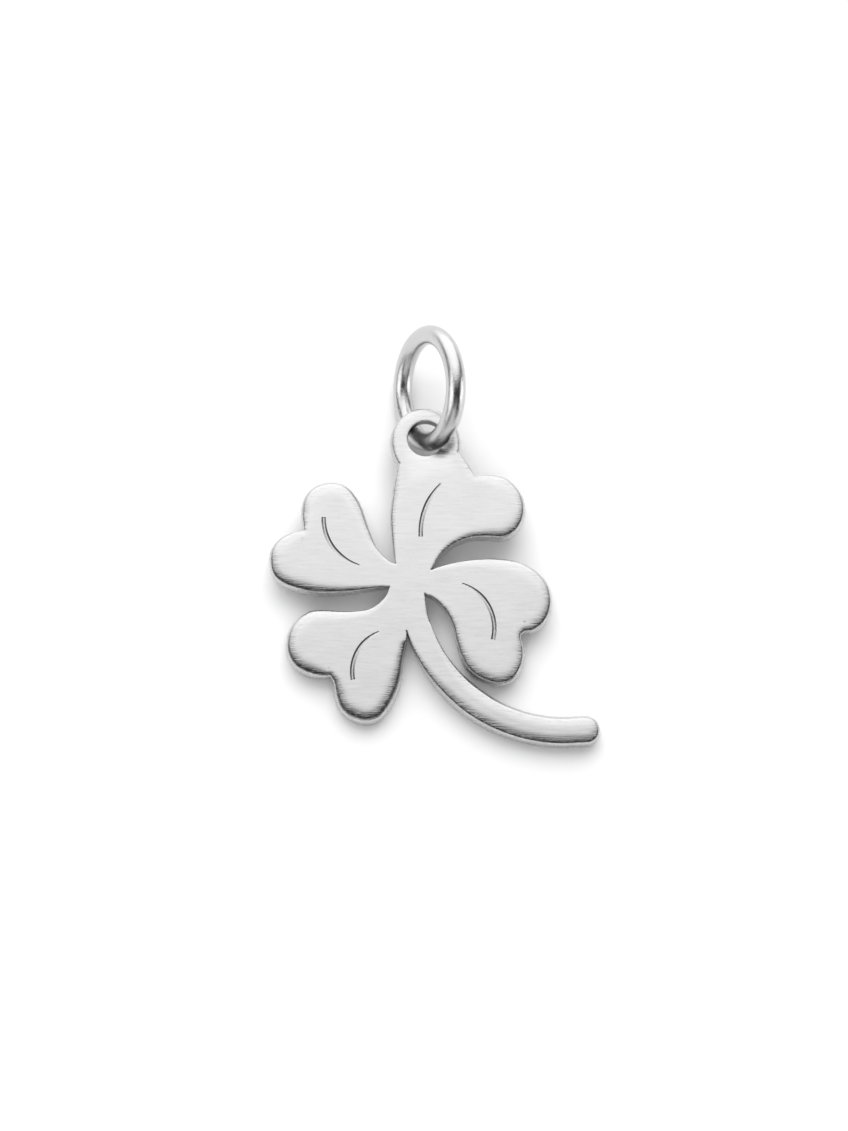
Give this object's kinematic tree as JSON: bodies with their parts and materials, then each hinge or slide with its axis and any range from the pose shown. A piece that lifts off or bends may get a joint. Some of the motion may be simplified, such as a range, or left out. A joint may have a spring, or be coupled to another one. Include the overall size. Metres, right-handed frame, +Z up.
{
  "type": "four leaf clover pendant",
  "caption": "Flat cast silver clover pendant with heart shaped leaves, a curved stem and a round eye, carried by a plain round jump ring.",
  "frame": {"origin": "on the surface that the pendant lies on, under the middle of its bounding box", "axes": "+X to the right and +Y towards the eye and the jump ring as in the picture, +Z up from the surface"},
  "size_m": [0.0166, 0.021, 0.0058],
  "materials": {
    "clover_silver": "satin brushed sterling silver face with polished bevel and walls",
    "ring_silver": "polished sterling silver wire"
  },
  "bodies": {
    "root": {"clover": "clover_silver", "jump_ring": "ring_silver"}
  },
  "joints": []
}
